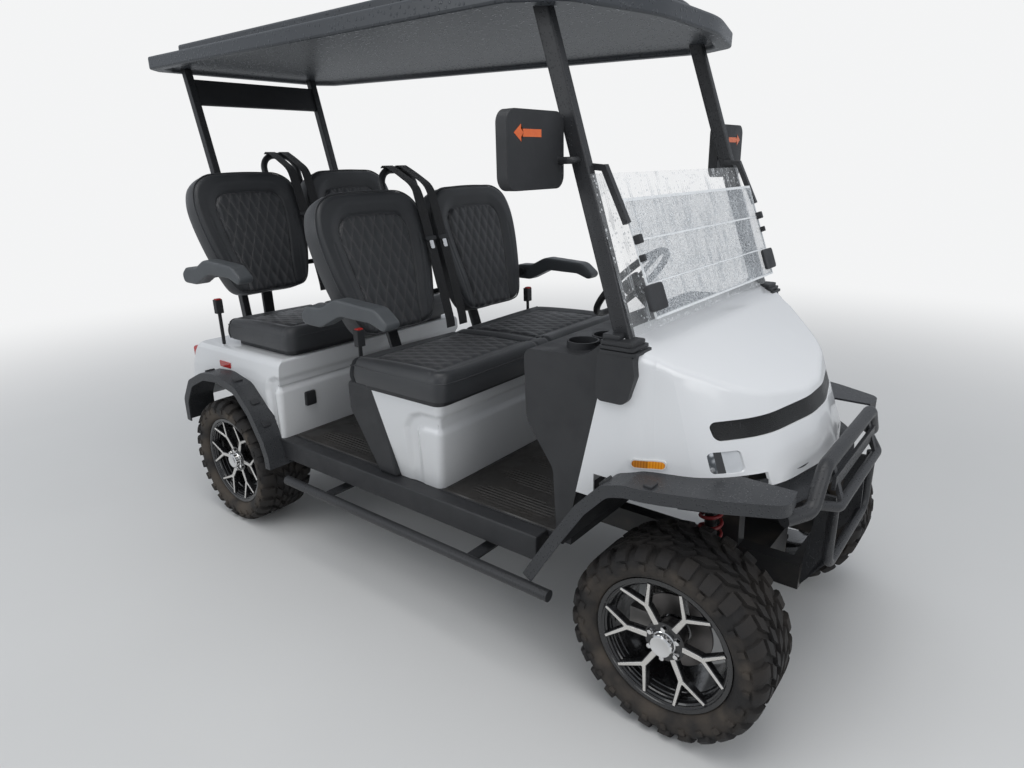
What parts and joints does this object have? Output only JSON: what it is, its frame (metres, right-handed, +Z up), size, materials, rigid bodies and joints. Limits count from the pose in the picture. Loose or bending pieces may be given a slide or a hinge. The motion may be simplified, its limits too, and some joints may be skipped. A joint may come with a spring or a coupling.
{
  "type": "golf cart",
  "caption": "Lifted golf cart with forward-facing seats, steering, roof, folding windshield, brush guard and all-terrain tyres, for carrying people short distances",
  "frame": {"origin": "centre of the cart's bounding box, on the ground", "axes": "+X forward, +Y to the left, +Z up; symmetric about Y = 0"},
  "size_m": [2.9902, 1.48, 2.103],
  "materials": {
    "tyre": "dusty rubber",
    "rim": "machined faces, black barrel",
    "frame_steel": "black powder coat",
    "bare_steel": "bare steel",
    "cast_metal": "cast housing",
    "spring_red": "red coil spring",
    "body_white": "white moulded panels",
    "black_plastic": "textured black",
    "seat_vinyl": "quilted vinyl",
    "armrest_grey": "soft grey foam",
    "webbing": "woven webbing",
    "rubber": "ribbed rubber",
    "floor_plastic": "moulded floor",
    "clear_acrylic": "clear sheet, wet",
    "lamp_clear": "clear lens",
    "lamp_red": "red lens",
    "lamp_amber": "amber lens",
    "wheel_grip": "soft grip"
  },
  "bodies": {
    "chassis": {"backrests_front": "seat_vinyl", "backrests_rear": "seat_vinyl", "battery_pack": "black_plastic", "belt_buckles": "black_plastic", "brush_guard": "frame_steel", "chassis_rails": "frame_steel", "cowl": "body_white", "cross_members": "frame_steel", "cushion_front": "seat_vinyl", "cushion_rear": "seat_vinyl", "cushion_trays": "black_plastic", "dash": "black_plastic", "drive_motor": "cast_metal", "fender_flares": "black_plastic", "floor_mats": "rubber", "floor_pan": "floor_plastic", "front_arms": "frame_steel", "front_pillars": "frame_steel", "front_seat_base": "body_white", "front_springs": "spring_red", "grille_band": "black_plastic", "headlamps": "lamp_clear", "leaf_springs": "frame_steel", "mirrors": "black_plastic", "pedals": "rubber", "pillar_boots": "black_plastic", "rear_axle": "frame_steel", "rear_body": "body_white", "rear_cross_panel": "black_plastic", "rear_struts": "frame_steel", "roof": "black_plastic", "seat_base_back": "black_plastic", "seat_belts": "webbing", "seat_frames": "frame_steel", "side_markers": "lamp_amber", "side_reflectors": "lamp_red", "sill_rails": "frame_steel", "steering_column": "frame_steel", "steering_rack": "bare_steel", "step_bars": "frame_steel", "tail_lamps": "lamp_red", "tie_rods": "bare_steel", "windshield_lower": "clear_acrylic", "windshield_upper": "clear_acrylic"},
    "knuckle_left": {"knuckle_left": "frame_steel"},
    "wheel_front_left": {"tyre_front_left": "tyre", "rim_front_left": "rim"},
    "armrest_front_left": {"armrest_front_left": "armrest_grey"},
    "wheel_rear_left": {"tyre_rear_left": "tyre", "rim_rear_left": "rim"},
    "armrest_rear_left": {"armrest_rear_left": "armrest_grey"},
    "knuckle_right": {"knuckle_right": "frame_steel"},
    "wheel_front_right": {"tyre_front_right": "tyre", "rim_front_right": "rim"},
    "armrest_front_right": {"armrest_front_right": "armrest_grey"},
    "wheel_rear_right": {"tyre_rear_right": "tyre", "rim_rear_right": "rim"},
    "armrest_rear_right": {"armrest_rear_right": "armrest_grey"},
    "steering_wheel": {"steering_wheel": "wheel_grip"}
  },
  "joints": [
    {"name": "steer_left", "type": "hinge", "parent": "chassis", "child": "knuckle_left", "pos_m": [1.1545, 0.41, 0.292], "axis": [0, 0, 1], "range_deg": [-28, 28]},
    {"name": "steer_right", "type": "hinge", "parent": "chassis", "child": "knuckle_right", "pos_m": [1.1545, -0.41, 0.292], "axis": [0, 0, 1], "range_deg": [-28, 28]},
    {"name": "steering_turn", "type": "hinge", "parent": "chassis", "child": "steering_wheel", "pos_m": [0.5495, 0.285, 1.122], "axis": [-0.7431, 0, 0.6691], "range_deg": [-340, 340]},
    {"name": "spin_front_left", "type": "hinge", "parent": "knuckle_left", "child": "wheel_front_left", "pos_m": [1.1545, 0.49, 0.292], "axis": [0, 1, 0], "continuous": true},
    {"name": "spin_rear_left", "type": "hinge", "parent": "chassis", "child": "wheel_rear_left", "pos_m": [-1.0055, 0.52, 0.292], "axis": [0, 1, 0], "continuous": true},
    {"name": "spin_front_right", "type": "hinge", "parent": "knuckle_right", "child": "wheel_front_right", "pos_m": [1.1545, -0.49, 0.292], "axis": [0, 1, 0], "continuous": true},
    {"name": "spin_rear_right", "type": "hinge", "parent": "chassis", "child": "wheel_rear_right", "pos_m": [-1.0055, -0.52, 0.292], "axis": [0, 1, 0], "continuous": true},
    {"name": "flip_armrest_front_left", "type": "hinge", "parent": "chassis", "child": "armrest_front_left", "pos_m": [-0.21479, 0.615, 1.07067], "axis": [0, -1, 0], "range_deg": [0, 100]},
    {"name": "flip_armrest_front_right", "type": "hinge", "parent": "chassis", "child": "armrest_front_right", "pos_m": [-0.21479, -0.615, 1.07067], "axis": [0, -1, 0], "range_deg": [0, 100]},
    {"name": "flip_armrest_rear_left", "type": "hinge", "parent": "chassis", "child": "armrest_rear_left", "pos_m": [-1.06679, 0.615, 1.15067], "axis": [0, -1, 0], "range_deg": [0, 100]},
    {"name": "flip_armrest_rear_right", "type": "hinge", "parent": "chassis", "child": "armrest_rear_right", "pos_m": [-1.06679, -0.615, 1.15067], "axis": [0, -1, 0], "range_deg": [0, 100]}
  ],
  "couplings": [
    {"joint": "steer_right", "follows": "steer_left", "ratio": 1},
    {"joint": "steering_turn", "follows": "steer_left", "ratio": 12}
  ]
}
